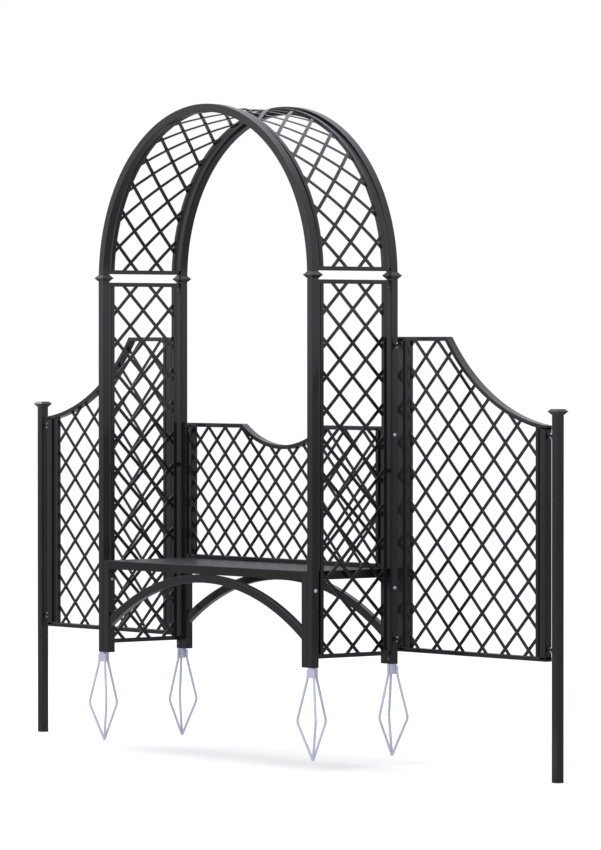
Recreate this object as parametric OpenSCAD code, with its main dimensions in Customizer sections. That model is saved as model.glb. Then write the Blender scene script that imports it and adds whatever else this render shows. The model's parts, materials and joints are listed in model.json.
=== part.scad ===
// Garden arbor bench: four posts under a round arch, a bench between them
// and two hinged trellis wings, each with an outer post that goes into the soil

/* [Posts and arch] */
// Distance across the front between post centres, which is also the arch diameter
post_span = 1620; // [1500:10:1750]
// Distance between the front and rear post centres
post_depth = 486; // [440:2:560]
// Height of the middle of the collars, where the arch springs
spring_h = 1841; // [1790:1:1950]
// Side of the square tube of posts, legs, hoops and wing members
tube = 38; // [34:1:42]
// Corner radius of that tube
tube_round = 3; // [1:0.5:4]
// Wall of the post tube
tube_wall = 2; // [1.5:0.5:3]
// Width of a collar across its edge
collar_w = 68; // [58:1:80]
// Height of a collar
collar_h = 31; // [24:1:40]
// Flat band that a collar keeps against the tube, on each side
collar_lip = 1; // [0.5:0.5:3]
// Length of a spigot that enters a tube
spigot = 16; // [10:1:18]

/* [Trellis panels] */
// Side of the square rails, stiles and panel hoops
rail = 20; // [16:1:24]
// Corner radius of the rails, stiles and panel hoops
rail_round = 2; // [0.5:0.5:3]
// Open gap between a stile and the post or member beside it
panel_gap = 20; // [16:1:24]
// Width of a lattice bar
bar_w = 12; // [8:1:15]
// Thickness of a lattice bar
bar_t = 4; // [3:0.5:5]
// Half a diamond, across
mesh_w = 80.4; // [70:0.1:90]
// Half a diamond, up
mesh_h = 79.35; // [70:0.05:90]
// Underside of the side panels
side_low = 42; // [36:1:60]
// How far the side panels' top lies below the spring of the arch
side_drop = 21; // [19:1:140]
// One lattice crossing on a side panel's middle line, below the panel's top
side_node_drop = 137.3; // [90:0.1:170]
// Middle height of the short spacers beside the stiles
spacer_h = 917; // [700:1:1100]
// Underside of the arch panel's bottom rails, above the spring of the arch
arch_rail_rise = 20.5; // [17:0.5:34]
// Diamonds round the half circle of the arch
arch_cells = 16; // [12:1:20]
// Flat pieces in each curved bar
bar_steps = 10; // [6:1:14]
// Length of the fixing tabs under the panel rails
tab_h = 32; // [28:1:35]
// Thickness of the fixing tabs
tab_t = 3; // [2:0.5:4]
// How far a panel bolt lies below its rail
tab_bolt_drop = 17; // [14:1:19]

/* [Bench] */
// Height of the seat
seat_h = 448; // [400:1:500]
// Depth of the seat's folded edge
fascia = 40; // [25:1:50]
// Thickness of the seat sheet
sheet = 2.4; // [1.5:0.1:2.6]
// Gap between a bench leg and its post
leg_gap = 3; // [3:0.1:6]
// Height of the bench back above the seat
back_h = 675; // [600:1:760]
// Depth of the dip in the bench back
dip_depth = 90; // [50:1:130]
// Width of the dip in the bench back
dip_w = 580; // [420:10:760]
// Diamonds across the opening of the bench back
back_cells = 10.5; // [8.5:1:12.5]
// Half a diamond of the bench back, up
back_mesh_h = 69.5; // [60:0.1:78]
// One crossing on the bench back's middle line, above its bottom rail
back_node_rise = 311.3; // [290:0.1:330]
// Height of an arched brace, measured along its radius
brace_h = 40; // [25:1:50]
// Depth of an arched brace, front to back
brace_d = 20; // [15:1:26]
// Underside of a brace at its crown, below the seat
crown_drop = 75; // [72:1:118]
// Underside of a brace at the legs, below the seat
foot_drop = 312; // [250:1:350]

/* [Wings] */
// Gap that the hinge lugs bridge
hinge_gap = 45.25; // [42:0.25:52]
// Width of a wing
wing_w = 1040.5; // [900:0.5:1200]
// Underside of a wing
wing_low = 62.7; // [40:0.1:90]
// Top of a wing beside the arbor
wing_top = 1551; // [1480:1:1620]
// Top of a wing at its outer end
wing_end_top = 1140; // [1080:1:1200]
// Level stretch of a wing's top, from its inner edge
wing_flat = 346.5; // [300:0.5:450]
// Radius of the hollow curve in a wing's top
wing_arc_r = 1012; // [900:1:1300]
// A lattice crossing of the wing, measured out from its inner edge
wing_node_out = 101.6; // [90:0.1:110]
// Height of that crossing above the wing's underside
wing_node_rise = 48.3; // [30:0.1:90]
// Top of an outer post, under its cap, above the wing's outer end
outer_rise = 53; // [10:1:160]
// Depth of an outer post below the ground
outer_depth = 488; // [350:1:600]
// Height of an outer cap
cap_h = 27; // [20:1:40]
// Height at which an outer cap is widest
cap_edge_h = 16; // [8:1:18]
// Width of an outer cap across its edge
cap_w = 68; // [56:1:80]
// Width of the level top of an outer cap
cap_top_w = 46; // [30:1:54]

/* [Hinges] */
// Radius of a hinge bolt
pin_r = 5; // [4:0.5:6]
// Running clearance of a hinge bolt in its lugs, on the radius
pin_fit = 0.05; // [0.02:0.01:0.1]
// Thickness of a hinge lug
lug_t = 6; // [4:0.5:8]
// Radius of a lug's round end
lug_r = 12; // [10:0.5:14]
// Height of the pad that carries a lug
pad_h = 55; // [40:1:60]
// Width of the pad that carries a lug
pad_w = 30; // [26:1:34]
// Thickness of the pad that carries a lug
pad_t = 3; // [2:0.5:4]
// Upper inner hinge, below the wing's top
hinge_drop = 40; // [36:1:60]
// Lower hinges, above the wing's underside
hinge_rise = 57; // [40:1:80]
// Upper outer hinge, below the wing's outer end
outer_hinge_drop = 42; // [40:1:60]

/* [Ground spikes and bolts] */
// Wall of a spike's socket tube
spike_wall = 2; // [1.5:0.5:3]
// How far a socket tube goes up into its post
spike_in = 120; // [80:1:200]
// How far a socket tube shows below its post
spike_out = 48; // [35:1:70]
// Radius of a spike rod
rod_r = 5; // [4:0.5:6]
// Top of the rods below the post
rod_start = 9; // [5:1:15]
// Depth at which the rods are widest
rod_bend = 250; // [200:1:300]
// Radius at which the rods are widest
rod_spread = 80; // [60:1:100]
// Depth of the tip
rod_tip = 434; // [380:1:480]
// Radius of the bench and panel bolts
bolt_r = 4; // [3:0.5:4.5]
// Radius of a domed bolt head
head_r = 6.5; // [6:0.5:8]
// Height of a domed bolt head
head_h = 4; // [3:0.5:5]
// Bolts that join post and leg, below the seat
leg_bolt_drop = 87; // [76:1:140]
// How far the bolts of the bench back lie below its top
back_bolt_drop = 37; // [32:1:60]

/* [Hidden] */
// Clearance between pieces that are fitted side by side
fit = 0.3;
// Clearance round a bolt in its hole, on the radius
bolt_fit = 0.2;
// Running gap between stacked hinge lugs
lug_gap = 0.3;
// Space between the two layers of curved bars
layer_gap = 0.4;
// How far a welded rod sinks into what it is welded to
weld = 0.4;
// Angles of the three rods, seen from above, on a front spike
ROD_ANGLES = [90, -30, -150];
// Threaded length of a panel bolt behind the last wall
thread_end = 4;
nut_h = 6;
nut_r = 7;
nut_cap_h = 2;
hinge_head_r = 8;
hinge_head_h = 7;
hinge_nut_h = 8;
hinge_nut_r = 8.5;
over = 1;
far = 4000;
SMOOTH = 48;
BIG_ARC = 360;
HALF_TURN = 180;

px = post_span / 2;
py = post_depth / 2;
arch_r = post_span / 2;
bore = tube - 2 * tube_wall;
post_top = spring_h - collar_h / 2;
side_top = spring_h - side_drop;
arch_rail_low = spring_h + arch_rail_rise;
post_in_x = px - tube / 2;
post_in_y = py - tube / 2;

open_y = post_in_y - panel_gap - rail;
stile_y = post_in_y - panel_gap;
arch_rail_top = arch_rail_low + rail;
panel_bolts_z = [side_top - rail - tab_bolt_drop, side_low - tab_bolt_drop];

back_top = seat_h + back_h;
brace_crown = seat_h - crown_drop;
brace_foot = seat_h - foot_drop;
leg_bolt_h = seat_h - leg_bolt_drop;
leg_out = post_in_x - leg_gap;
leg_in = leg_out - tube;
leg_x = (leg_out + leg_in) / 2;
seat_x = post_in_x - fit;
seat_front = -(py + tube / 2 + fit + sheet);
seat_rear = py + tube / 2;
back_open = leg_in - panel_gap - rail;
back_stile = leg_in - panel_gap;
back_low = seat_h + rail;
back_mesh_w = back_open / back_cells;
dip_r = (pow(dip_w / 2, 2) + pow(dip_depth, 2)) / (2 * dip_depth);
dip_z = back_top - dip_depth + dip_r;
back_bolt_h = back_top - back_bolt_drop;
brace_rise = brace_crown - brace_foot;
brace_r = (pow(leg_in, 2) + pow(brace_rise, 2)) / (2 * brace_rise);
brace_z = brace_crown - brace_r;

wing_in = px + tube / 2 + hinge_gap;
wing_out = wing_in + wing_w;
wing_open_0 = wing_in + tube + panel_gap + rail;
wing_open_1 = wing_out - tube - panel_gap - rail;
arc_from = [wing_in + wing_flat, wing_top];
arc_to = [wing_out, wing_end_top];
arc_c = arc_centre(arc_from, arc_to, wing_arc_r);
outer_top = wing_end_top + outer_rise;
pivot_x = wing_in - hinge_gap / 2;
outer_pivot_x = wing_out + hinge_gap / 2;
outer_x = wing_out + hinge_gap + tube / 2;
hinge_low = wing_low + hinge_rise;
inner_hinges = [wing_top - hinge_drop, hinge_low];
outer_hinges = [wing_end_top - outer_hinge_drop, hinge_low];

spike_tube = bore - 2 * fit;
rod_in = spike_tube / 2 + rod_r - weld;

PAINT = [0.17, 0.17, 0.18];
SEAT_PAINT = [0.24, 0.24, 0.27];
GALVANISED = [0.72, 0.70, 0.82];
STEEL = [0.80, 0.80, 0.83];

// Centre of the circle of radius r through two points of a curve that sags between them
function arc_centre(p, q, r) =
    let (chord = q - p, half = norm(chord) / 2, across = [-chord.y, chord.x] / (2 * half))
    (p + q) / 2 + across * sqrt(r * r - half * half);

// Height of the wing's hollow top edge at a distance x
function wing_z(x) = arc_c.y - sqrt(pow(wing_arc_r, 2) - pow(x - arc_c.x, 2));

// Upright drawings: XZ drawings stand in a plane of constant Y, YZ drawings in one of constant X
module stand_xz(y, depth) {
    translate([0, y, 0]) rotate([90, 0, 0]) linear_extrude(depth, center = true) children();
}
module stand_yz(x, depth) {
    translate([x, 0, 0]) rotate([90, 0, 90]) linear_extrude(depth, center = true) children();
}

// A rectangle given by its two corners
module span(x0, z0, x1, z1) {
    translate([x0, z0]) square([x1 - x0, z1 - z0]);
}

// Section of a tube: an oblong with round corners
module section(w, h, r) {
    square([w - 2 * r, h], center = true);
    square([w, h - 2 * r], center = true);
    for (x = [-1, 1]) for (y = [-1, 1])
        translate([x * (w / 2 - r), y * (h / 2 - r)]) circle(r, $fn = SMOOTH);
}

// Tubes of that section: upright, along X and along Y
module upright(x, y, z0, z1, w, d, r) {
    translate([x, y, z0]) linear_extrude(z1 - z0) section(w, d, r);
}
module along_x(x0, x1, y, z, d, h, r) {
    translate([x0, y, z]) rotate([90, 0, 90]) linear_extrude(x1 - x0) section(d, h, r);
}
module along_y(x, y0, y1, z, w, h, r) {
    translate([x, y1, z]) rotate([90, 0, 0]) linear_extrude(y1 - y0) section(w, h, r);
}

// A part made on the right side, shown on the side that is asked for
module on_side(sx) {
    if (sx > 0) children();
    else mirror([1, 0, 0]) children();
}

// A block of square plan with the given outline on all four sides
module four_sided(points) {
    intersection() {
        rotate([90, 0, 0]) linear_extrude(far, center = true) polygon(points);
        rotate([90, 0, 90]) linear_extrude(far, center = true) polygon(points);
    }
}

// Parallel slanted bars through crossings at node_x, node_z and every diamond above and below
module slanted_bars(node_x, node_z, half_w, half_h, slope, count) {
    lean = atan2(slope * half_h, half_w);
    for (k = [-count:count])
        translate([node_x, node_z + 2 * k * half_h]) rotate(lean) square([far, bar_w], center = true);
}

// One layer of bars on each side of the middle plane, cut to the opening given as a child
module lattice_xz(y, node_x, node_z, half_w, half_h, count) {
    for (slope = [-1, 1])
        translate([0, slope * bar_t / 2, 0]) stand_xz(y, bar_t) intersection() {
            slanted_bars(node_x, node_z, half_w, half_h, slope, count);
            children();
        }
}

// Domed head, shank and nut along Z, with the underside of the head at the origin
module dome(r, h) {
    ball = (r * r + h * h) / (2 * h);
    rotate_extrude($fn = SMOOTH) intersection() {
        translate([0, h - ball]) circle(ball, $fn = 2 * SMOOTH);
        square([r, h]);
    }
}
module domed_bolt(r, grip, hr, hh, nr, nh) {
    dome(hr, hh);
    translate([0, 0, -grip - nh]) cylinder(r = r, h = grip + nh, $fn = SMOOTH);
    translate([0, 0, -grip - nh]) cylinder(r = nr, h = nh, $fn = 6);
    translate([0, 0, -grip - nh]) mirror([0, 0, 1]) dome(r + over, nut_cap_h);
}

// Posts with the holes that their bolts pass through
module cross_hole(z) {
    translate([0, 0, z]) rotate([0, 90, 0])
        cylinder(r = bolt_r + bolt_fit, h = tube + 2 * over, center = true, $fn = SMOOTH);
}
module square_tube(low, high, side, inside, r) {
    translate([0, 0, low]) linear_extrude(high - low) difference() {
        section(side, side, r);
        square(inside, center = true);
    }
}
module wall_holes(sy, wall_y, heights) {
    for (z = heights)
        translate([0, -sy * wall_y, z]) rotate([90, 0, 0])
            cylinder(r = bolt_r + bolt_fit, h = 4 * tube_wall, center = true, $fn = SMOOTH);
}
module post(sx, sy) {
    color(PAINT) translate([sx * px, sy * py, 0]) difference() {
        square_tube(0, post_top, tube, bore, tube_round);
        cross_hole(leg_bolt_h);
        if (sy > 0) cross_hole(back_bolt_h);
        wall_holes(sy, tube / 2, panel_bolts_z);
    }
}

// Ground spike: a socket tube with three rods that spread and meet at the tip
module rod(from, to) {
    way = to - from;
    translate(from) rotate([0, acos(way.z / norm(way)), atan2(way.y, way.x)])
        cylinder(r = rod_r, h = norm(way), $fn = 24);
}
module bead(at) {
    translate(at) sphere(rod_r + weld, $fn = 24);
}
module spike(sx, sy) {
    color(GALVANISED) translate([sx * px, sy * py, 0]) {
        difference() {
            square_tube(-spike_out, spike_in, spike_tube, spike_tube - 2 * spike_wall, spike_wall);
            wall_holes(sy, spike_tube / 2, [panel_bolts_z[1]]);
        }
        for (a = ROD_ANGLES) {
            reach = abs(sin(a)) == 1 ? rod_in : rod_in / cos(30);
            way = [cos(a), -sy * sin(a), 0];
            top = reach * way - [0, 0, rod_start];
            elbow = reach * way - [0, 0, spike_out];
            wide = rod_spread * way - [0, 0, rod_bend];
            tip = [0, 0, -rod_tip + rod_r + weld];
            rod(top, elbow);
            bead(elbow);
            rod(elbow, wide);
            bead(wide);
            rod(wide, tip);
        }
        bead([0, 0, -rod_tip + rod_r + weld]);
    }
}

// Collar between post and hoop, with a spigot in each
module collar(sx, sy) {
    mid = tube / 2 + collar_lip;
    half = collar_h / 2;
    peg = bore - 2 * fit;
    color(PAINT) translate([sx * px, sy * py, spring_h]) {
        four_sided([[-mid, -half], [mid, -half], [collar_w / 2, 0],
                    [mid, half], [-mid, half], [-collar_w / 2, 0]]);
        translate([0, 0, -half - spigot / 2]) cube([peg, peg, spigot], center = true);
        translate([0, 0, half + spigot / 2]) cube([peg, peg, spigot], center = true);
    }
}

// Main hoops stand on the collars, panel hoops on the arch rails
module half_ring(y) {
    translate([0, y, spring_h]) rotate([90, 0, 0])
        rotate_extrude(angle = HALF_TURN, $fn = BIG_ARC) translate([arch_r, 0]) children();
}
module below(z) {
    translate([-far / 2, -far / 2, z - far]) cube([far, far, far]);
}
module hoop(sy) {
    start = spring_h + collar_h / 2;
    color(PAINT) difference() {
        half_ring(sy * py) square(tube, center = true);
        below(start);
        for (sx = [-1, 1])
            translate([sx * px, sy * py, start + spigot / 2])
                cube([bore + over, bore, spigot + over], center = true);
    }
}
module panel_hoop(sy) {
    color(PAINT) difference() {
        half_ring(sy * (open_y + rail / 2)) section(rail, rail, rail_round);
        below(arch_rail_top);
    }
}
module arch_rail(sx) {
    color(PAINT) along_y(sx * px, -post_in_y, post_in_y, arch_rail_low + rail / 2, rail, rail, rail_round);
}

// Curved diamond lattice: each bar winds round the arch at a steady slope
// Its outline is followed on flat sections of constant Y
module curved_bar(cell, slope, r0, r1) {
    half_arc = HALF_TURN / (2 * arch_cells);
    arc_mesh = arch_r * half_arc * PI / HALF_TURN;
    half_bar = bar_w / (2 * cos(atan2(arc_mesh, mesh_w)));
    spread = half_bar / arch_r * HALF_TURN / PI;
    ys = [for (i = [0:bar_steps]) open_y * (2 * i / bar_steps - 1)];
    mid = [for (y = ys) (2 * cell + slope * y / mesh_w) * half_arc];
    first = [for (i = [0:bar_steps]) if (mid[i] > -half_arc && mid[i] < HALF_TURN + half_arc) i];
    rings = [for (i = first) for (c = [[r0, -1], [r1, -1], [r1, 1], [r0, 1]])
        let (a = mid[i] + c[1] * spread) [c[0] * cos(a), ys[i], spring_h + c[0] * sin(a)]];
    last = len(first) - 1;
    sides = [for (i = [0:last - 1]) for (j = [0:3])
        let (a = 4 * i + j, b = 4 * i + (j + 1) % 4) each [[a, b, b + 4], [a, b + 4, a + 4]]];
    polyhedron(points = rings, faces = concat([[3, 2, 1, 0]], sides, [[for (j = [0:3]) 4 * last + j]]));
}
module arch_lattice() {
    color(PAINT) difference() {
        union() {
            for (cell = [0:arch_cells]) {
                curved_bar(cell, 1, arch_r + layer_gap / 2, arch_r + layer_gap / 2 + bar_t);
                curved_bar(cell, -1, arch_r - layer_gap / 2 - bar_t, arch_r - layer_gap / 2);
            }
        }
        below(arch_rail_top);
    }
}

// Side panels: a welded frame with fixing tabs, and its lattice
module side_frame(sx) {
    tab_w = rail - 2 * rail_round;
    color(PAINT) {
        for (z = [side_low + rail / 2, side_top - rail / 2])
            along_y(sx * px, -post_in_y, post_in_y, z, rail, rail, rail_round);
        for (sy = [-1, 1]) {
            upright(sx * px, sy * (stile_y - rail / 2), side_low + rail / 2, side_top - rail / 2,
                    rail, rail, rail_round);
            along_y(sx * px, sy > 0 ? stile_y - rail / 2 : -post_in_y, sy > 0 ? post_in_y : rail / 2 - stile_y,
                    spacer_h, rail, rail, rail_round);
            for (edge = [side_low, side_top - rail]) difference() {
                translate([sx * px - tab_w / 2, sy * (post_in_y - tab_t / 2) - tab_t / 2, edge - tab_h])
                    cube([tab_w, tab_t, tab_h + rail / 2]);
                translate([sx * px, sy * post_in_y, edge - tab_bolt_drop]) rotate([90, 0, 0])
                    cylinder(r = bolt_r + bolt_fit, h = 4 * tab_t, center = true, $fn = SMOOTH);
            }
        }
    }
}
module side_lattice(sx) {
    count = ceil(side_top / (2 * mesh_h));
    color(PAINT) for (slope = [-1, 1])
        stand_yz(sx * (px + slope * bar_t / 2), bar_t) intersection() {
            slanted_bars(0, side_top - side_node_drop, mesh_w, mesh_h, slope, count);
            span(-open_y, side_low + rail, open_y, side_top - rail);
        }
}

// Bench legs and the uprights of its back, which are the rear legs carried on upwards
module bench_leg(sx) {
    color(PAINT) translate([sx * leg_x, -py, 0]) difference() {
        square_tube(0, seat_h - sheet, tube, bore, tube_round);
        cross_hole(leg_bolt_h);
    }
}
module back_upright(sx) {
    color(PAINT) translate([sx * leg_x, py, 0]) difference() {
        square_tube(0, back_top, tube, bore, tube_round);
        cross_hole(leg_bolt_h);
        cross_hole(back_bolt_h);
    }
}

// Seat: one sheet folded down on all sides and notched round the uprights
// Its folds are round outside, by the sheet's own thickness
module folded(x0, x1) {
    span(x0, seat_h - fascia, x1, seat_h - sheet);
    span(x0 + sheet, seat_h - fascia, x1 - sheet, seat_h);
    for (x = [x0 + sheet, x1 - sheet]) translate([x, seat_h - sheet]) circle(sheet, $fn = SMOOTH);
}
module seat_pan() {
    notch_y = py - tube / 2 - fit;
    color(SEAT_PAINT) difference() {
        intersection() {
            stand_xz(0, far) folded(-seat_x, seat_x);
            stand_yz(0, far) folded(seat_front, seat_rear);
        }
        translate([-seat_x + sheet, seat_front + sheet, seat_h - fascia - over])
            cube([2 * (seat_x - sheet), seat_rear - seat_front - 2 * sheet, fascia - sheet + over]);
        for (sx = [-1, 1])
            translate([sx * (leg_in - fit + tube), notch_y + tube, seat_h])
                cube([2 * tube, 2 * tube, 3 * fascia], center = true);
    }
}
module brace(sy) {
    color(PAINT) stand_xz(sy * py, brace_d) intersection() {
        translate([0, brace_z]) difference() {
            circle(brace_r + brace_h, $fn = BIG_ARC);
            circle(brace_r, $fn = BIG_ARC);
        }
        span(-leg_in, 0, leg_in, seat_h - sheet);
    }
}

// Bench back: the area under its top edge, which dips in the middle
module back_area(half, low, drop) {
    difference() {
        span(-half, low, half, back_top - drop);
        translate([0, dip_z]) circle(dip_r + drop, $fn = BIG_ARC);
    }
}
module back_frame() {
    color(PAINT) {
        stand_xz(py, rail) difference() {
            back_area(leg_in, back_low, 0);
            back_area(leg_in + over, back_low - over, rail);
        }
        along_x(-leg_in, leg_in, py, seat_h + rail / 2, rail, rail, rail_round);
        for (sx = [-1, 1])
            upright(sx * (back_stile - rail / 2), py, seat_h + rail / 2, back_top - rail / 2,
                    rail, rail, rail_round);
    }
}
module back_lattice() {
    count = ceil((back_open * back_mesh_h / back_mesh_w + back_top) / (2 * back_mesh_h));
    color(PAINT) lattice_xz(py, 0, back_low + back_node_rise, back_mesh_w, back_mesh_h, count)
        back_area(back_open, back_low, rail);
}

// Wings: the area under their top edge, level at the arbor and then falling in a hollow curve
module wing_area(x0, x1, low, drop) {
    difference() {
        span(x0, low, x1, wing_top - drop);
        translate(arc_c) circle(wing_arc_r + drop, $fn = BIG_ARC);
    }
}
module wing_frame(sx) {
    low = wing_low + rail / 2;
    stile_0 = wing_open_0 - rail / 2;
    stile_1 = wing_open_1 + rail / 2;
    color(PAINT) on_side(sx) {
        upright(wing_in + tube / 2, py, low, wing_top - rail / 2, tube, tube, tube_round);
        upright(wing_out - tube / 2, py, low, wing_end_top - rail / 2, tube, tube, tube_round);
        upright(stile_0, py, low, wing_top - rail / 2, rail, rail, rail_round);
        upright(stile_1, py, low, wing_z(stile_1) - rail / 2, rail, rail, rail_round);
        along_x(wing_in, wing_out, py, low, tube, rail, rail_round);
        stand_xz(py, tube) difference() {
            wing_area(wing_in, wing_out, wing_low, 0);
            wing_area(wing_in - over, wing_out + over, wing_low - over, rail);
        }
    }
}
module wing_lattice(sx) {
    count = ceil((wing_w + wing_top) / (2 * mesh_h));
    color(PAINT) on_side(sx)
        lattice_xz(py, wing_in + wing_node_out, wing_low + wing_node_rise, mesh_w, mesh_h, count)
            wing_area(wing_open_0, wing_open_1, wing_low + rail, rail);
}

// Hinge lugs point away from the pad that carries them, with the pivot at the origin
module lug(level) {
    half = hinge_gap / 2;
    translate([0, 0, level]) linear_extrude(lug_t) difference() {
        union() {
            translate([0, -lug_r]) square([half, 2 * lug_r]);
            circle(lug_r, $fn = SMOOTH);
        }
        circle(pin_r + pin_fit, $fn = SMOOTH);
    }
    translate([half - pad_t, -pad_w / 2, -pad_h / 2]) cube([pad_t, pad_w, pad_h]);
}
module lower_lug() {
    lug(-lug_gap / 2 - lug_t);
}
module upper_lug() {
    lug(lug_gap / 2);
}
module post_lugs(sx) {
    color(PAINT) on_side(sx) for (z = inner_hinges)
        translate([pivot_x, py, z]) mirror([1, 0, 0]) lower_lug();
}
module wing_lugs(sx) {
    color(PAINT) on_side(sx) {
        for (z = inner_hinges) translate([pivot_x, py, z]) upper_lug();
        for (z = outer_hinges) translate([outer_pivot_x, py, z]) mirror([1, 0, 0]) upper_lug();
    }
}
module outer_lugs(sx) {
    color(PAINT) on_side(sx) for (z = outer_hinges)
        translate([outer_pivot_x, py, z]) lower_lug();
}
module hinge_bolt() {
    stack = lug_t + lug_gap / 2;
    translate([0, 0, stack + lug_gap])
        domed_bolt(pin_r, 2 * stack + lug_gap, hinge_head_r, hinge_head_h, hinge_nut_r, hinge_nut_h);
}
module hinge_bolts(sx) {
    color(STEEL) on_side(sx) for (z = inner_hinges) translate([pivot_x, py, z]) hinge_bolt();
}
module outer_bolts(sx) {
    color(STEEL) on_side(sx) for (z = outer_hinges) translate([outer_pivot_x, py, z]) hinge_bolt();
}

// Outer posts go into the soil and end in a flat-topped cap
module outer_post(sx) {
    color(PAINT) translate([sx * outer_x, py, 0]) square_tube(-outer_depth, outer_top, tube, bore, tube_round);
}
module outer_cap(sx) {
    neck = tube / 2 + collar_lip;
    peg = bore - 2 * fit;
    color(PAINT) translate([sx * outer_x, py, outer_top]) {
        four_sided([[-neck, 0], [neck, 0], [cap_w / 2, cap_edge_h], [cap_top_w / 2, cap_h],
                    [-cap_top_w / 2, cap_h], [-cap_w / 2, cap_edge_h]]);
        translate([0, 0, -spigot / 2]) cube([peg, peg, spigot], center = true);
    }
}

// Bolts that join the bench to the posts, and the panels and spikes to the posts
module bench_bolts() {
    grip = 2 * tube + leg_gap;
    color(STEEL) for (sx = [-1, 1]) for (at = [[-py, leg_bolt_h], [py, leg_bolt_h], [py, back_bolt_h]])
        translate([sx * (px + tube / 2), at[0], at[1]]) rotate([0, sx * 90, 0])
            domed_bolt(bolt_r, grip, head_r, head_h, nut_r, nut_h);
}
module panel_bolts() {
    reach = tab_t + tube_wall + fit + spike_wall + thread_end;
    color(STEEL) for (sx = [-1, 1]) for (sy = [-1, 1]) for (z = panel_bolts_z)
        translate([sx * px, sy * (post_in_y - tab_t), z]) rotate([sy * 90, 0, 0]) {
            dome(head_r, head_h);
            translate([0, 0, -reach]) cylinder(r = bolt_r, h = reach, $fn = SMOOTH);
        }
}

post(-1, -1);  // post_front_left
post(1, -1);  // post_front_right
post(-1, 1);  // post_rear_left
post(1, 1);  // post_rear_right
spike(-1, -1);  // spike_front_left
spike(1, -1);  // spike_front_right
spike(-1, 1);  // spike_rear_left
spike(1, 1);  // spike_rear_right
collar(-1, -1);  // collar_front_left
collar(1, -1);  // collar_front_right
collar(-1, 1);  // collar_rear_left
collar(1, 1);  // collar_rear_right
hoop(-1);  // hoop_front
hoop(1);  // hoop_rear
panel_hoop(-1);  // panel_hoop_front
panel_hoop(1);  // panel_hoop_rear
arch_rail(-1);  // arch_rail_left
arch_rail(1);  // arch_rail_right
arch_lattice();
side_frame(-1);  // side_frame_left
side_frame(1);  // side_frame_right
side_lattice(-1);  // side_lattice_left
side_lattice(1);  // side_lattice_right
bench_leg(-1);  // bench_leg_left
bench_leg(1);  // bench_leg_right
back_upright(-1);  // back_upright_left
back_upright(1);  // back_upright_right
seat_pan();
brace(-1);  // brace_front
brace(1);  // brace_rear
back_frame();
back_lattice();
wing_frame(-1);  // wing_frame_left
wing_frame(1);  // wing_frame_right
wing_lattice(-1);  // wing_lattice_left
wing_lattice(1);  // wing_lattice_right
wing_lugs(-1);  // wing_lugs_left
wing_lugs(1);  // wing_lugs_right
post_lugs(-1);  // post_lugs_left
post_lugs(1);  // post_lugs_right
outer_post(-1);  // outer_post_left
outer_post(1);  // outer_post_right
outer_lugs(-1);  // outer_lugs_left
outer_lugs(1);  // outer_lugs_right
outer_cap(-1);  // outer_cap_left
outer_cap(1);  // outer_cap_right
hinge_bolts(-1);  // hinge_bolts_left
hinge_bolts(1);  // hinge_bolts_right
outer_bolts(-1);  // outer_bolts_left
outer_bolts(1);  // outer_bolts_right
bench_bolts();
panel_bolts();
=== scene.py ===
# %% [markdown]
# An arbor bench for the garden: four square posts under a round lattice arch,
# a bench between the posts, and a hinged trellis wing on each side that ends in
# a post of its own. Everything on it is square steel tube and flat bar, welded
# up and powder coated in black. What tells the eye that it is steel and not
# plastic is how a thin, smooth coat mirrors the room at a low angle, so this
# lesson spends its effort on the coat, the light and the round of each tube.

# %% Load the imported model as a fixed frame
import json
import math

import bmesh
import bpy
from mathutils import Matrix, Vector


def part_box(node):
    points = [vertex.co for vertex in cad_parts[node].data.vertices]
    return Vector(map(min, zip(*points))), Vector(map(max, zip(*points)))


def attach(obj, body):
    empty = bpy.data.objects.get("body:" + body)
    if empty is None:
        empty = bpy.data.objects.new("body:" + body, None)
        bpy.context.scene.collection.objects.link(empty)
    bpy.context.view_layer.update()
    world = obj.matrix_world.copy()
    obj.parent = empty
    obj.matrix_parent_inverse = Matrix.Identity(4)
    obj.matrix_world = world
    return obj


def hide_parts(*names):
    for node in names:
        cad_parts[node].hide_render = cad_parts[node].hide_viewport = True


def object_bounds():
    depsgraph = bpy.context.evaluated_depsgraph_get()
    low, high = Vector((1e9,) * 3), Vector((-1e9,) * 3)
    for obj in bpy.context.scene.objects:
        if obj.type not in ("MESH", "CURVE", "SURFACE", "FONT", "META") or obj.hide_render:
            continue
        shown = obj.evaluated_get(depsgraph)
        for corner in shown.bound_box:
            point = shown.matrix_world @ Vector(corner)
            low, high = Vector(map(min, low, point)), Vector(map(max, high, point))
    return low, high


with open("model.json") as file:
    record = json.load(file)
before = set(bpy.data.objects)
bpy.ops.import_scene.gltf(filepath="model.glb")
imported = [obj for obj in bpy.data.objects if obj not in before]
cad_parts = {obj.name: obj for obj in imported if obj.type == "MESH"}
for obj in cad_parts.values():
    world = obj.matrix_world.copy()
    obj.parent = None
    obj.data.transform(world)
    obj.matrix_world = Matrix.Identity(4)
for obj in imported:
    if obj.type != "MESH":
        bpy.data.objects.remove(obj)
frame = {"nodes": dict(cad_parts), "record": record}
nodes = frame["nodes"]
cad_low, cad_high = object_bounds()
print("size in metres", [round(b - a, 3) for a, b in zip(cad_low, cad_high)])

# %% [markdown]
# The camera stands far off to the right, a little above the middle of the arbor,
# with a long lens, which is why upright members stay almost parallel. It could be
# turned by eye until the bench looks right, but its place and turn were worked
# out from the posts, the seat and the arch, whose sizes are known, so that the
# bars lie where they were photographed. The lens is given as a focal length on a
# sensor as high as the picture: the height of the frame decides what is in view.

# %% Camera at the photograph's viewpoint
IMAGE_H = 850
FOCAL_PIXELS = 5039.7
SENSOR_H = 36.0
CLIP_END = 400.0
EYE = (19.0270, -15.2252, 1.5115)
EYE_YAW = 0.88498696
EYE_DOWN = 0.01584336
EYE_ROLL = -0.00003787

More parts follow.
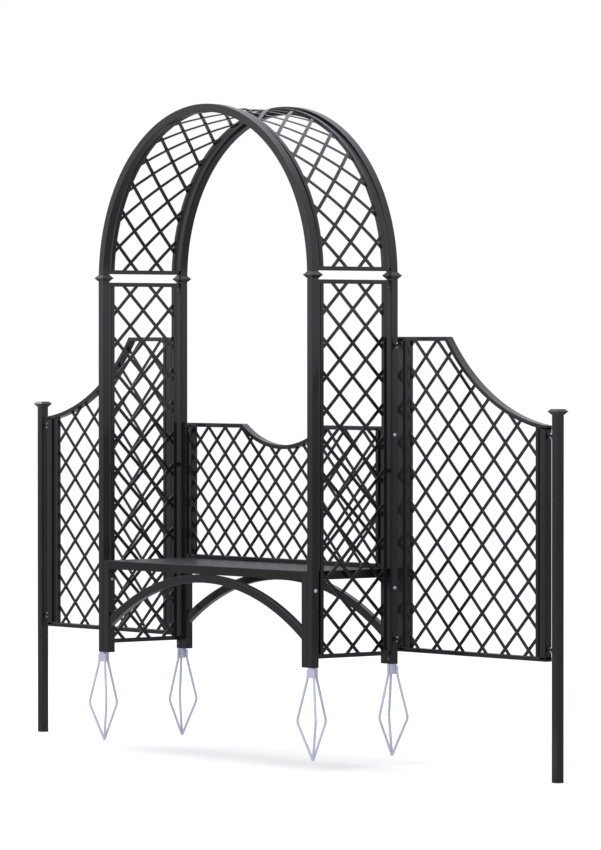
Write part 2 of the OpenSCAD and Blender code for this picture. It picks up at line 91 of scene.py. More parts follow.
lens = bpy.data.cameras.new("viewpoint")
lens.sensor_fit = "VERTICAL"
lens.sensor_height = SENSOR_H
lens.lens = FOCAL_PIXELS / IMAGE_H * SENSOR_H
lens.clip_end = CLIP_END
camera = bpy.data.objects.new("viewpoint", lens)
turn = (Matrix.Rotation(EYE_YAW, 4, "Z") @ Matrix.Rotation(math.pi / 2 - EYE_DOWN, 4, "X")
        @ Matrix.Rotation(EYE_ROLL, 4, "Z"))
camera.matrix_world = Matrix.Translation(EYE) @ turn
bpy.context.scene.collection.objects.link(camera)
bpy.context.scene.camera = camera
print("lens in mm", round(lens.lens, 2))

# %% [markdown]
# Every finish and the room itself are trees of shader nodes. A few short helpers
# keep what follows readable: they add a node and set its inputs by name, join
# sockets, and make a Math node or a soft step.

# %% Helpers for shader nodes
def set_inputs(node, values):
    """Sets a node's inputs by name; an underscore in a name stands for a space."""
    for label, value in values.items():
        node.inputs[label.replace("_", " ")].default_value = value
    return node


def add(tree, kind, **values):
    """A new shader node with some of its inputs set."""
    return set_inputs(tree.nodes.new(f"ShaderNode{kind}"), values)


def wire(tree, *links):
    """Joins sockets in a tree: each link is (from node, its output, to node, its input)."""
    for source, out, target, socket in links:
        tree.links.new(source.outputs[out], target.inputs[socket])


def math_node(tree, kind, value=None):
    """A Math node, with its second input set if a value is given."""
    made = add(tree, "Math")
    made.operation = kind
    if value is not None:
        made.inputs[1].default_value = value
    return made


def ramp(tree, start, end, low=0.0, high=1.0):
    """A soft step from low at start to high at end."""
    made = add(tree, "MapRange", From_Min=start, From_Max=end, To_Min=low, To_Max=high)
    made.interpolation_type = "SMOOTHSTEP"
    return made


def empty_tree(owner):
    """The node tree of a world or a material, with nothing in it."""
    owner.use_nodes = True
    owner.node_tree.nodes.clear()
    return owner.node_tree


print("helpers", [helper.__name__ for helper in (add, wire, math_node, ramp, empty_tree)])

# %% [markdown]
# The picture shows the bench on plain white. A white room could be lit until it
# clips, but then the bench would be lit far too strongly as well. Here the room
# is white to the eye and in reflections, through the Light Path node, while its
# real light stays at a level at which a colour renders as it is written.

# %% Picture settings and a world that is white to look at
scene = bpy.context.scene
scene.view_settings.view_transform = "Standard"
ROOM_LIGHT = 0.62
ROOM_TINT = (0.97, 0.97, 1.0, 1)
WHITE = (1, 1, 1, 1)


def seen_directly(tree):
    """A value that is 1 for rays from the eye and for mirrored and refracted ones, 0 for light."""
    path = add(tree, "LightPath")
    first, both = math_node(tree, "MAXIMUM"), math_node(tree, "MAXIMUM")
    wire(tree, (path, "Is Camera Ray", first, 0), (path, "Is Glossy Ray", first, 1),
         (first, 0, both, 0), (path, "Is Transmission Ray", both, 1))
    return both


def white_room():
    """World that shows white and lights the bench at a plain level."""
    world = bpy.data.worlds.new("white_room")
    tree = empty_tree(world)
    seen = seen_directly(tree)
    light = add(tree, "Background", Color=ROOM_TINT, Strength=ROOM_LIGHT)
    shown = add(tree, "Background", Color=WHITE, Strength=1.0)
    choose, out = add(tree, "MixShader"), add(tree, "OutputWorld")
    wire(tree, (seen, 0, choose, 0), (light, 0, choose, 1), (shown, 0, choose, 2),
         (choose, 0, out, 0))
    return world


scene.world = white_room()
print("room light", ROOM_LIGHT)

# %% [markdown]
# The floor lies at the lowest point of the model, the feet of the outer posts.
# Near the bench the lamps make it white, and the bench throws its shadow there.
# Further off the lamps fade, and a plain sheet would show a grey band at the
# horizon. So a glow that grows with distance takes over, which the eye sees and
# nothing is lit by, and the floor runs into the white of the room without a line.

# %% Floor
FLOOR_HALF = 90.0
FLOOR_WHITE = (0.82, 0.82, 0.82, 1)
GLOW_START, GLOW_END = 2.0, 11.0
GLOW_NEAR, GLOW_FAR = 0.24, 0.52


def studio_piece(name, points, faces, finish):
    """An object that belongs to the studio and not to the bench."""
    sheet = bpy.data.meshes.new(name)
    sheet.from_pydata(points, [], faces)
    sheet.materials.append(finish)
    made = bpy.data.objects.new(name, sheet)
    scene.collection.objects.link(made)
    return made


def floor_white():
    """Matt white whose own glow is seen but lights nothing."""
    finish = bpy.data.materials.new("floor_white")
    tree = empty_tree(finish)
    seen = seen_directly(tree)
    matt = add(tree, "BsdfDiffuse", Color=FLOOR_WHITE)
    place, reach = add(tree, "TexCoord"), add(tree, "VectorMath")
    reach.operation = "LENGTH"
    fade = ramp(tree, GLOW_START, GLOW_END, GLOW_NEAR, GLOW_FAR)
    glow, nothing = add(tree, "Emission"), add(tree, "Emission", Strength=0.0)
    extra, both = add(tree, "MixShader"), add(tree, "AddShader")
    out = add(tree, "OutputMaterial")
    wire(tree, (place, "Object", reach, 0), (reach, "Value", fade, "Value"),
         (fade, "Result", glow, "Strength"),
         (seen, 0, extra, 0), (nothing, 0, extra, 1), (glow, 0, extra, 2),
         (matt, 0, both, 0), (extra, 0, both, 1), (both, 0, out, 0))
    return finish


corners = [(FLOOR_HALF * x, FLOOR_HALF * y, cad_low.z)
           for x, y in ((-1, -1), (1, -1), (1, 1), (-1, 1))]
floor = studio_piece("floor", corners, [(0, 1, 2, 3)], floor_white())
print(floor.name, "at", round(cad_low.z, 3))

# %% [markdown]
# Three large soft lamps give the bench its form. Glossy black paint mirrors them,
# so what matters most is where they don't stand: seen from the camera, the front
# faces mirror what is far off at the front left, the side faces what is at the
# back right, and level faces what is at the back left. No lamp stands there.

# %% Soft studio lamps
AIM = Vector((0.0, 0.0, 1.2))
LAMPS = {
    "lamp_overhead": {"at": (0.0, -0.5, 7.0), "size": 6.0, "power": 340},
    "lamp_front_right": {"at": (3.0, -8.0, 4.5), "size": 4.0, "power": 260},
    "lamp_left": {"at": (-8.0, 0.3, 4.0), "size": 4.0, "power": 170},
}


def soft_lamp(name, at, size, power):
    """A square area lamp that faces the bench."""
    light = bpy.data.lights.new(name, "AREA")
    light.shape = "SQUARE"
    light.size = size
    light.energy = power
    lamp = bpy.data.objects.new(name, light)
    lamp.location = at
    lamp.rotation_mode = "QUATERNION"
    lamp.rotation_quaternion = (AIM - Vector(at)).to_track_quat("-Z", "Y")
    scene.collection.objects.link(lamp)


for lamp_name, values in LAMPS.items():
    soft_lamp(lamp_name, **values)
print("lamps", list(LAMPS))

# %% [markdown]
# A glossy black thing on endless white looks flat, because every face mirrors the
# same white. In the photograph the tubes grow darker towards the ground, as they
# do in a studio whose cove is grey low down. A darker room would do it too, but
# would dim the white behind the bench. So a round grey cove runs out over the
# floor and up, with soft edges. Only mirrored rays see it: it throws no shadow,
# gives no light and never comes into the picture itself.

# %% A low grey cove for the tubes to mirror
COVE_RADIUS, COVE_TONE = 9.0, 0.45
COVE_INNER, COVE_FULL = 0.5, 2.0
COVE_SOLID, COVE_TOP = 0.7, 1.6
COVE_LIFT, COVE_STEPS = 0.004, 96


def mirrored_only(thing):
    """Hides an object of the studio from all rays but mirrored ones."""
    for ray in ("camera", "diffuse", "transmission", "volume_scatter", "shadow"):
        setattr(thing, f"visible_{ray}", False)
    return thing


def cove_grey():
    """Grey that fades away towards the bench and towards the top of the cove."""
    finish = bpy.data.materials.new("cove_grey")
    tree = empty_tree(finish)
    place, parts, reach = add(tree, "TexCoord"), add(tree, "SeparateXYZ"), add(tree, "VectorMath")
    reach.operation = "LENGTH"
    inward = ramp(tree, COVE_FULL, COVE_INNER)
    upward = ramp(tree, COVE_SOLID, COVE_TOP)
    see_through = math_node(tree, "MAXIMUM")
    grey, clear = add(tree, "Emission", Strength=COVE_TONE), add(tree, "BsdfTransparent")
    choose, out = add(tree, "MixShader"), add(tree, "OutputMaterial")
    wire(tree, (place, "Object", parts, 0), (place, "Object", reach, 0),
         (parts, "Z", upward, "Value"), (reach, "Value", inward, "Value"),
         (upward, "Result", see_through, 0), (inward, "Result", see_through, 1),
         (see_through, 0, choose, 0), (grey, 0, choose, 1), (clear, 0, choose, 2),
         (choose, 0, out, 0))
    return finish


def grey_cove():
    """Ring over the floor and a wall round it."""
    low = cad_low.z + COVE_LIFT
    turns = [2 * math.pi * i / COVE_STEPS for i in range(COVE_STEPS)]
    points = [(r * math.cos(t), r * math.sin(t), z)
              for r, z in ((COVE_INNER, low), (COVE_RADIUS, low), (COVE_RADIUS, COVE_TOP))
              for t in turns]
    faces = []
    for row in (0, COVE_STEPS):
        for i in range(COVE_STEPS):
            after = (i + 1) % COVE_STEPS
            faces.append((row + i, row + after, row + COVE_STEPS + after, row + COVE_STEPS + i))
    return mirrored_only(studio_piece("grey_cove", points, faces, cove_grey()))


print(grey_cove().name, "up to", COVE_TOP)

# %% [markdown]
# The seat and the tops of the rails mirror what lies low at the back left. In the
# photograph they are a cool dark grey that grows lighter further up, so a board
# stands there, square to the line of sight, and grows from dark to light upwards.
# Like the cove, only mirrored rays see it.

# %% A grey board for level faces to mirror
BOARD_AT, BOARD_WIDE, BOARD_TOP = (-7.2, 6.0), 10.0, 3.6
BOARD_DARK_TO, BOARD_LIGHT_FROM = 0.9, 2.0
BOARD_LOW, BOARD_HIGH = 0.21, 0.47
BOARD_TINT = (0.84, 0.87, 1.0, 1)


def board_grey():
    """Cool grey that grows lighter upwards."""
    finish = bpy.data.materials.new("board_grey")
    tree = empty_tree(finish)
    place, parts = add(tree, "TexCoord"), add(tree, "SeparateXYZ")
    upward = ramp(tree, BOARD_DARK_TO, BOARD_LIGHT_FROM, BOARD_LOW, BOARD_HIGH)
    grey, out = add(tree, "Emission", Color=BOARD_TINT), add(tree, "OutputMaterial")
    wire(tree, (place, "Object", parts, 0), (parts, "Z", upward, "Value"),
         (upward, "Result", grey, "Strength"), (grey, 0, out, 0))
    return finish


def grey_board():
    """Upright board, square to the line from the bench to its middle."""
    middle = Vector((*BOARD_AT, 0))
    side = Vector((-BOARD_AT[1], BOARD_AT[0], 0)).normalized() * BOARD_WIDE / 2
    points = [middle + s * side + Vector((0, 0, z)) for s, z in
              ((-1, cad_low.z), (1, cad_low.z), (1, BOARD_TOP), (-1, BOARD_TOP))]
    return mirrored_only(studio_piece("grey_board", points, [(0, 1, 2, 3)], board_grey()))


print(grey_board().name, "up to", BOARD_TOP)

# %% [markdown]
# Powder coat is sprayed on dry and melted, so it keeps a faint orange peel: low
# bumps about a millimetre across under a smooth skin. That effect is wanted in
# the paint of the tubes and in that of the seat, so it is built once as a node
# group whose sockets say what can be changed, and placed in both.

# %% A helper for node groups, and the orange peel group
NOISE_MIDDLE = 0.5


def new_group(name, inputs, outputs):
    """Shader node group with named sockets; each input is (name, kind, value)."""
    group = bpy.data.node_groups.new(name, "ShaderNodeTree")
    for label, kind, value in inputs:
        socket = group.interface.new_socket(label, in_out="INPUT", socket_type=f"NodeSocket{kind}")
        socket.default_value = value
    for label, kind in outputs:
        group.interface.new_socket(label, in_out="OUTPUT", socket_type=f"NodeSocket{kind}")
    return group, group.nodes.new("NodeGroupInput"), group.nodes.new("NodeGroupOutput")


def coat_skin_group():
    """Orange peel height and a roughness that wanders with slow patches."""
    group, given, result = new_group(
        "coat_skin",
        [("Peel Scale", "Float", 900.0), ("Patch Scale", "Float", 6.0),
         ("Roughness", "Float", 0.25), ("Roughness Spread", "Float", 0.1)],
        [("Height", "Float"), ("Roughness", "Float"), ("Patches", "Float")])
    place = add(group, "TexCoord")
    peel, patches = add(group, "TexNoise", Detail=1.0), add(group, "TexNoise", Detail=4.0)
    centred = math_node(group, "SUBTRACT", NOISE_MIDDLE)
    spread, rough = math_node(group, "MULTIPLY"), math_node(group, "ADD")
    wire(group, (place, "Object", peel, "Vector"), (given, "Peel Scale", peel, "Scale"),
         (place, "Object", patches, "Vector"), (given, "Patch Scale", patches, "Scale"),
         (patches, "Fac", centred, 0), (centred, 0, spread, 0),
         (given, "Roughness Spread", spread, 1),
         (spread, 0, rough, 0), (given, "Roughness", rough, 1),
         (peel, "Fac", result, "Height"), (rough, 0, result, "Roughness"),
         (patches, "Fac", result, "Patches"))
    return group


coat_skin = coat_skin_group()
print("group", coat_skin.name)

# %% [markdown]
# Outdoors, a thin film of dust settles on what faces up, and none on what faces
# down. The same mask also carries a painted sheen: what faces up is lightened to
# a lavender grey that stands in for the light falling from above. It could be
# painted by hand, but the mask can be worked out from the surface's normal, with
# a noise that breaks it up. It takes gloss away and greys the black, and the
# paint of the tubes and that of the seat each set their own amount of it.

# %% Dust and painted sheen group
DUST_SHEEN_FROM, DUST_SHEEN_FULL = 0.35, 1.0


def dust_and_sheen_group():
    """Mask of dust and painted sheen: 1 where the surface faces up, broken by noise."""
    group, given, result = new_group(
        "dust_and_sheen",
        [("Amount", "Float", 0.5), ("Scale", "Float", 9.0), ("Break Up", "Float", 0.4)],
        [("Mask", "Float")])
    face, parts = add(group, "NewGeometry"), add(group, "SeparateXYZ")
    upward = ramp(group, DUST_SHEEN_FROM, DUST_SHEEN_FULL)
    place, cloud = add(group, "TexCoord"), add(group, "TexNoise", Detail=6.0)
    broken, inverse = math_node(group, "MULTIPLY_ADD"), math_node(group, "SUBTRACT")
    inverse.inputs[0].default_value = 1.0
    masked, amount = math_node(group, "MULTIPLY"), math_node(group, "MULTIPLY")
    amount.use_clamp = True
    wire(group, (face, "Normal", parts, 0), (parts, "Z", upward, "Value"),
         (place, "Object", cloud, "Vector"), (given, "Scale", cloud, "Scale"),
         (given, "Break Up", inverse, 1), (cloud, "Fac", broken, 0),
         (given, "Break Up", broken, 1), (inverse, 0, broken, 2),
         (upward, "Result", masked, 0), (broken, 0, masked, 1),
         (masked, 0, amount, 0), (given, "Amount", amount, 1), (amount, 0, result, "Mask"))
    return group


dust_and_sheen = dust_and_sheen_group()
print("group", dust_and_sheen.name)

# %% [markdown]
# Zinc that cools on steel forms flat crystals, each a slightly different grey.
# The spikes carry it as hot galvanising, with large crystals, and the bolts as
# a thin plate with hardly any, so the crystal size and contrast are inputs. A
# Voronoi texture gives each crystal a random colour of its own, whose red makes
# its tone, its green its roughness and its blue its height.

# %% Zinc group
MIX_A, MIX_B, MIX_OUT = 6, 7, 2
STAIN_SCALE, STAIN_SHARE = 14.0, 0.5
CRYSTAL_RED, CRYSTAL_GREEN, CRYSTAL_BLUE = 0, 1, 2


def colour_mix(tree):
    """A Mix node for colours, whose sockets are MIX_A, MIX_B and MIX_OUT."""
    made = add(tree, "Mix")
    made.data_type = "RGBA"
    return made


def zinc_group():
    """Crystal tone, roughness and a height for a zinc surface."""
    group, given, result = new_group(
        "zinc_crystals",
        [("Scale", "Float", 120.0), ("Dark", "Color", (0.5, 0.5, 0.5, 1)),
         ("Light", "Color", (0.7, 0.7, 0.7, 1)),
         ("Roughness", "Float", 0.35), ("Roughness Spread", "Float", 0.15)],
        [("Color", "Color"), ("Roughness", "Float"), ("Height", "Float")])
    place, cells = add(group, "TexCoord"), add(group, "TexVoronoi")
    parts = add(group, "SeparateColor")
    stain = add(group, "TexNoise", Detail=3.0, Scale=STAIN_SCALE)
    share = math_node(group, "MULTIPLY", STAIN_SHARE)
    tone = math_node(group, "MULTIPLY_ADD", 1 - STAIN_SHARE)
    blend = colour_mix(group)
    spread, rough = math_node(group, "MULTIPLY"), math_node(group, "ADD")
    wire(group, (place, "Object", cells, "Vector"), (given, "Scale", cells, "Scale"),
         (place, "Object", stain, "Vector"), (cells, "Color", parts, 0),
         (stain, "Fac", share, 0), (parts, CRYSTAL_RED, tone, 0), (share, 0, tone, 2),
         (tone, 0, blend, "Factor"), (given, "Dark", blend, MIX_A),
         (given, "Light", blend, MIX_B), (blend, MIX_OUT, result, "Color"),
         (parts, CRYSTAL_GREEN, spread, 0), (given, "Roughness Spread", spread, 1),
         (spread, 0, rough, 0), (given, "Roughness", rough, 1),
         (rough, 0, result, "Roughness"), (parts, CRYSTAL_BLUE, result, "Height"))
    return group


zinc_crystals = zinc_group()
print("group", zinc_crystals.name)

# %% [markdown]
# The black paint itself is nearly as dark as paint can be. Almost all of the
# light that reaches the eye from it is mirrored in the clear skin, weakly on a
# face that is looked at squarely and strongly on one seen at a low angle. A
# Principled shader with a dark base does just that, with no help. The seat's
# sheet looks a little duller than the tubes, so it mirrors less.

# %% Painted finishes
COAT_IOR = 1.45
PEEL_STRENGTH, PEEL_HEIGHT = 0.35, 0.00005
DUST_SHEEN_DULLS = 0.6


def start_material(name):
    """A material with nothing but the Principled shader and its output."""
    made = bpy.data.materials.new(name)
    made.use_nodes = True
    return made, made.node_tree, made.node_tree.nodes["Principled BSDF"]


def place_group(tree, group, **values):
    """Puts a group in a material, with its inputs set by name."""
    made = add(tree, "Group")
    made.node_tree = group
    return set_inputs(made, values)


def paint(name, gloss, dark, patchy, dust_and_sheen_tint, dust_and_sheen_inputs, skin):
    """Powder coat: dark base with slow patches, dust and painted sheen on what faces up, orange
    peel in the skin.
    """
    made, tree, shader = start_material(name)
    coat = place_group(tree, coat_skin, **skin)
    dust_and_sheen_mask = place_group(tree, dust_and_sheen, **dust_and_sheen_inputs)
    tone, with_dust_and_sheen = colour_mix(tree), colour_mix(tree)
    tone.inputs[MIX_A].default_value = (*dark, 1)
    tone.inputs[MIX_B].default_value = (*patchy, 1)
    # What faces up takes the dusty tint, partly dust and partly a painted sheen of the light from
    # above.
    with_dust_and_sheen.inputs[MIX_B].default_value = (*dust_and_sheen_tint, 1)
    dull, rough = math_node(tree, "MULTIPLY", DUST_SHEEN_DULLS), math_node(tree, "ADD")
    rough.use_clamp = True
    peel = add(tree, "Bump", Strength=PEEL_STRENGTH, Distance=PEEL_HEIGHT)
    wire(tree, (coat, "Patches", tone, "Factor"), (dust_and_sheen_mask, "Mask", with_dust_and_sheen, "Factor"),
         (tone, MIX_OUT, with_dust_and_sheen, MIX_A), (with_dust_and_sheen, MIX_OUT, shader, "Base Color"),
         (dust_and_sheen_mask, "Mask", dull, 0), (dull, 0, rough, 0), (coat, "Roughness", rough, 1),
         (coat, "Height", peel, "Height"), (peel, 0, shader, "Normal"),
         (rough, 0, shader, "Roughness"))
    set_inputs(shader, {"IOR": COAT_IOR, "Specular_IOR_Level": gloss})
    return made


# Each dusty tint is partly dust and partly a painted sheen of the light from above.
black_paint = paint(
    "black_paint", gloss=0.5,
    dark=(0.0080, 0.0077, 0.0098), patchy=(0.0115, 0.0110, 0.0135), dust_and_sheen_tint=(0.17, 0.165, 0.23),
    dust_and_sheen_inputs={"Amount": 0.28, "Scale": 9.0, "Break_Up": 0.35},
    skin={"Peel_Scale": 900.0, "Patch_Scale": 6.0, "Roughness": 0.16, "Roughness_Spread": 0.12})
seat_paint = paint(
    "seat_paint", gloss=0.36,
    dark=(0.006, 0.006, 0.0065), patchy=(0.010, 0.010, 0.011), dust_and_sheen_tint=(0.24, 0.23, 0.28),
    dust_and_sheen_inputs={"Amount": 0.20, "Scale": 3.0, "Break_Up": 0.6},
    skin={"Peel_Scale": 900.0, "Patch_Scale": 4.0, "Roughness": 0.24, "Roughness_Spread": 0.10})
print("paints", black_paint.name, seat_paint.name)

# %% [markdown]
# Hot galvanising turns dull in the weather, under a skin of zinc salts that is
# more like chalk than metal, so the spikes are mostly matt and faintly violet.
# The bolts' bright plate is half metal to the shader: as a pure metal it would
# show nothing but the white room. The panel bolts are small and lie in the shade
# of the tabs, and look far darker than the bench bolts.

# %% Zinc finishes
GRAIN_STRENGTH = 0.3


def zinc(name, dark, light, scale, roughness, spread, height, metal):
    """Zinc coated steel with crystals of a given size."""
    made, tree, shader = start_material(name)
    crystals = place_group(tree, zinc_crystals, Scale=scale, Dark=(*dark, 1), Light=(*light, 1),
                           Roughness=roughness, Roughness_Spread=spread)
    grain = add(tree, "Bump", Strength=GRAIN_STRENGTH, Distance=height)
    wire(tree, (crystals, "Color", shader, "Base Color"),
         (crystals, "Roughness", shader, "Roughness"),
         (crystals, "Height", grain, "Height"), (grain, 0, shader, "Normal"))
    shader.inputs["Metallic"].default_value = metal
    return made


galvanised = zinc("galvanised", dark=(0.46, 0.455, 0.60), light=(0.60, 0.595, 0.78),
                  scale=160.0, roughness=0.45, spread=0.16, height=0.00006, metal=0.35)
bolt_zinc = zinc("bolt_zinc", dark=(0.42, 0.41, 0.50), light=(0.55, 0.54, 0.65),
                 scale=700.0, roughness=0.38, spread=0.12, height=0.00002, metal=0.5)
shaded_zinc = zinc("shaded_zinc", dark=(0.10, 0.10, 0.12), light=(0.16, 0.16, 0.18),
                   scale=700.0, roughness=0.5, spread=0.12, height=0.00002, metal=0.5)
print("zinc finishes", galvanised.name, bolt_zinc.name, shaded_zinc.name)

# %% [markdown]
# Held against the photograph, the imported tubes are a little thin: with 38 mm the
# slits beside the wings show white, with 40 mm they close as they should. The
# lattice bars measure 15 mm there, not 12 mm, and are drawn 17 mm wide, because
# a thin black bar on white renders thinner than it is photographed. So tubes and
# bars are built once more here on the same middle lines. A bevelled curve would
# do for the plain ones, but not for mitres and level ends, so each one is an
# outline with round corners that is carried along a path, ring by ring.

# %% Outlines and skins, in millimetres
MM = 0.001
PACKED_TUBE = 38.0
TUBE, TUBE_ROUND, TUBE_WALL, BORE_ROUND = 40.0, 2.5, 3.0, 1.0
GROWN = (TUBE - PACKED_TUBE) / 2
RAIL, RAIL_ROUND = 20.0, 2.0
BAR_WIDE, BAR_THICK, BAR_ROUND = 17.0, 4.0, 0.8
ACROSS, DEEP, UP = (1, 0, 0), (0, 1, 0), (0, 0, 1)


def outline(width, height, radius, steps=3):
    """Points of an oblong with round corners."""
    points = []
    for quarter, (sx, sy) in enumerate(((1, 1), (-1, 1), (-1, -1), (1, -1))):
        for i in range(steps + 1):
            angle = math.pi / 2 * (quarter + i / steps)
            points.append((sx * (width / 2 - radius) + radius * math.cos(angle),
                           sy * (height / 2 - radius) + radius * math.sin(angle)))
    return points


def skin(mesh, rings, loop=False):
    """Joins rings of points; the ends get a flat cap, or are joined to each other in a loop."""
    rows = [[mesh.verts.new(MM * Vector(point)) for point in ring] for ring in rings]
    pairs = list(zip(rows, rows[1:])) + ([(rows[-1], rows[0])] if loop else [])
    for a, b in pairs:
        for i in range(len(a)):
            mesh.faces.new((a[i - 1], a[i], b[i], b[i - 1]))
    if not loop:
        mesh.faces.new(list(reversed(rows[0])))
        mesh.faces.new(rows[-1])


def straight(mesh, start, end, across, up, shape):
    """A straight bar or rail between two points."""
    skin(mesh, [[Vector(at) + a * Vector(across) + b * Vector(up) for a, b in shape]
                for at in (start, end)])


TUBE_OUTLINE = outline(TUBE, TUBE, TUBE_ROUND)
BAR_OUTLINE = outline(BAR_WIDE, BAR_THICK, BAR_ROUND, steps=2)
print("tube", TUBE, "bar", BAR_WIDE, "by", BAR_THICK)

# %% [markdown]
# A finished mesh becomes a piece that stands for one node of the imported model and
# rides on that node's body, so it swings with its joint. Faces are shaded smooth
# up to an angle, and weighted normals keep the flat sides of a tube flat between
# its round edges.

# %% From a mesh to a piece of the bench
SHARP_FROM = 40
SIDES = (("left", -1), ("right", 1))
ENDS = (("front", -1), ("rear", 1))
pieces = []


def new_piece(mesh, node, body, finish):
    """Turns a mesh into the piece that stands for a node and rides on its body."""
    bmesh.ops.recalc_face_normals(mesh, faces=mesh.faces)
    for face in mesh.faces:
        face.smooth = True
    data = bpy.data.meshes.new(f"made_{node}")
    mesh.to_mesh(data)
    mesh.free()
    data.set_sharp_from_angle(angle=math.radians(SHARP_FROM))
    data.materials.append(finish)
    piece = bpy.data.objects.new(f"made_{node}", data)
    scene.collection.objects.link(piece)
    even = piece.modifiers.new("even_normals", "WEIGHTED_NORMAL")
    even.keep_sharp = True
    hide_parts(node)
    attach(piece, body)
    return piece


members_of = frame["record"]["behaviour"]["bodies"]
body_of = {node: body for body, members in members_of.items() for node in members}
print("nodes with a body", len(body_of))

# %% [markdown]
# Posts, legs, back uprights and outer posts are all one thing, an upright tube
# that is open at its ends, but for the front legs, which are closed beside the
# seat. Where each stands and how far it reaches comes from the box of its node,
# so nothing is written down twice.

# %% Upright tubes
SEAT_TOP = 452.0
UPRIGHTS = [f"post_{end}_{side}" for end, _ in ENDS for side, _ in SIDES]
UPRIGHTS += [f"{kind}_{side}" for kind in ("bench_leg", "back_upright", "outer_post")
             for side, _ in SIDES]


def upright_tube(node):
    """Tube with a wall in the place of a node; a front leg is closed at the seat's top."""
    low, high = (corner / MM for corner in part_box(node))
    x, y = (low.x + high.x) / 2, (low.y + high.y) / 2
    bore = outline(TUBE - 2 * TUBE_WALL, TUBE - 2 * TUBE_WALL, BORE_ROUND)
    closed = node.startswith("bench_leg")
    if closed:
        levels = [(bore, SEAT_TOP - TUBE_WALL), (bore, low.z),
                  (TUBE_OUTLINE, low.z), (TUBE_OUTLINE, SEAT_TOP)]
    else:
        levels = [(TUBE_OUTLINE, low.z), (TUBE_OUTLINE, high.z), (bore, high.z), (bore, low.z)]
    mesh = bmesh.new()
    skin(mesh, [[(x + a, y + b, z) for a, b in shape] for shape, z in levels], loop=not closed)
    return new_piece(mesh, node, body_of[node], black_paint)


pieces += [upright_tube(node) for node in UPRIGHTS]
print("upright tubes", len(UPRIGHTS))

# %% [markdown]
# The two main hoops are the same tube bent to a half circle. A bent tube's ends
# are square to its curve, but these are cut level, where they stand on the
# collars. So each line along the tube starts at the angle at which its own radius
# meets that level.

# %% Main hoops
ARCH_R, SPRING, HOOP_Y = 810.0, 1841.0, 243.0
HOOP_FOOT, HOOP_OUT = 1856.5, 829.0
ARC_STEPS = 120


def bent_tube(node, y, deep, middle, centre, foot):
    """Arc of tube; foot(r) is the angle at which a line of radius r starts at the right."""
    mesh = bmesh.new()
    rings = []
    for i in range(ARC_STEPS + 1):
        ring = []
        for a, b in outline(TUBE, deep, TUBE_ROUND):
            r = middle + a
            angle = foot(r) + (math.pi - 2 * foot(r)) * i / ARC_STEPS
            ring.append((r * math.cos(angle), y + b, centre + r * math.sin(angle)))
        rings.append(ring)
    skin(mesh, rings)
    return new_piece(mesh, node, "arbor", black_paint)


def hoop_foot(r):
    """Angle at which a line of radius r meets the level of the collars."""
    return math.asin((HOOP_FOOT - SPRING) / r)


for end, sy in ENDS:
    pieces.append(bent_tube(f"hoop_{end}", sy * HOOP_Y, TUBE, HOOP_OUT - TUBE / 2, SPRING,
                            hoop_foot))
print("hoops", len(ENDS))

# %% [markdown]
# An arched brace ties the legs together under each edge of the seat. It is tube
# again, bent to a wide circle and cut upright where it meets the legs. Its upper
# face shows as a grey band, as wide as a tube 30 mm deep would show it.

# %% Arched braces
LEG_IN, BRACE_DEEP = 750.0, 30.0
BRACE_R, BRACE_Z = 1298.9, -909.9


def brace_foot(r):
    """Angle at which a line of radius r meets the inner face of a leg."""
    return math.acos(LEG_IN / r)


for end, sy in ENDS:
    pieces.append(bent_tube(f"brace_{end}", sy * HOOP_Y, BRACE_DEEP, BRACE_R, BRACE_Z,
                            brace_foot))
print("braces", len(ENDS))

# %% [markdown]
# The seat is one sheet with its edges folded down, and its corners are cut out
# where the legs and the uprights pass. A cube with a bevel would look solid from
# below, so it is built as the sheet that it is. Each level of the fold is the
# same outline drawn in by a little. The first level is filled as the underside of
# the sheet, and the last one as the seat.

# %% Seat
SEAT_X, SEAT_FRONT, SEAT_REAR, NOTCH_X, NOTCH_Y = 790.7, -263.0, 262.0, 749.5, 222.5
FASCIA, SHEET, FOLD_STEPS = 42.0, 2.4, 5


def drawn_in(corners, by):
    """An outline of upright and level lines, run anticlockwise, drawn in by a distance."""
    moved = []
    for i, at in enumerate(corners):
        before = (Vector(at) - Vector(corners[i - 1])).normalized()
        after = (Vector(corners[(i + 1) % len(corners)]) - Vector(at)).normalized()
        moved.append(Vector(at) + by * Vector((-before.y - after.y, before.x + after.x)))
    return moved


def seat():
    """Folded sheet with notched corners."""
    right = [(NOTCH_X, SEAT_FRONT), (NOTCH_X, -NOTCH_Y), (SEAT_X, -NOTCH_Y),
             (SEAT_X, NOTCH_Y), (NOTCH_X, NOTCH_Y), (NOTCH_X, SEAT_REAR)]
    corners = right + [(-x, y) for x, y in reversed(right)]
    fold = [math.radians(90 / FOLD_STEPS * i) for i in range(FOLD_STEPS + 1)]
    levels = [(SHEET, SEAT_TOP - SHEET), (SHEET, SEAT_TOP - FASCIA), (0.0, SEAT_TOP - FASCIA)]
    levels += [(SHEET * (1 - math.cos(t)), SEAT_TOP - SHEET * (1 - math.sin(t))) for t in fold]
    mesh = bmesh.new()
    skin(mesh, [[(*at, z) for at in drawn_in(corners, by)] for by, z in levels])
    piece = new_piece(mesh, "seat_pan", "arbor", seat_paint)
    return piece


pieces.append(seat())
print("seat top", SEAT_TOP)

# %% [markdown]
# A wing is a welded frame. Its top rail runs level from the arbor and then falls
# in a hollow curve, and the two stretches meet in a mitre. Every line along the
# rail bends at the point where its own level meets its own circle, which is what
# gives a clean mitre.

# %% Wing frames
WING_IN, WING_OUT, WING_LOW = 874.25, 1914.75, 62.7
WING_TOP, WING_END_TOP = 1551.0, 1144.5
CURVE_X, CURVE_Z, CURVE_R, CURVE_STEPS = 2040.72, 2148.64, 1012.0, 48
STILE_IN, STILE_OUT = 942.25, 1846.75


def top_edge(x, drop=0.0):
    """Height of the wing's top edge, or of a line a drop below it."""
    level = WING_TOP - drop
    r = CURVE_R + drop
    if x <= CURVE_X - r:
        return level
    return min(level, CURVE_Z - math.sqrt(r * r - (x - CURVE_X) ** 2))


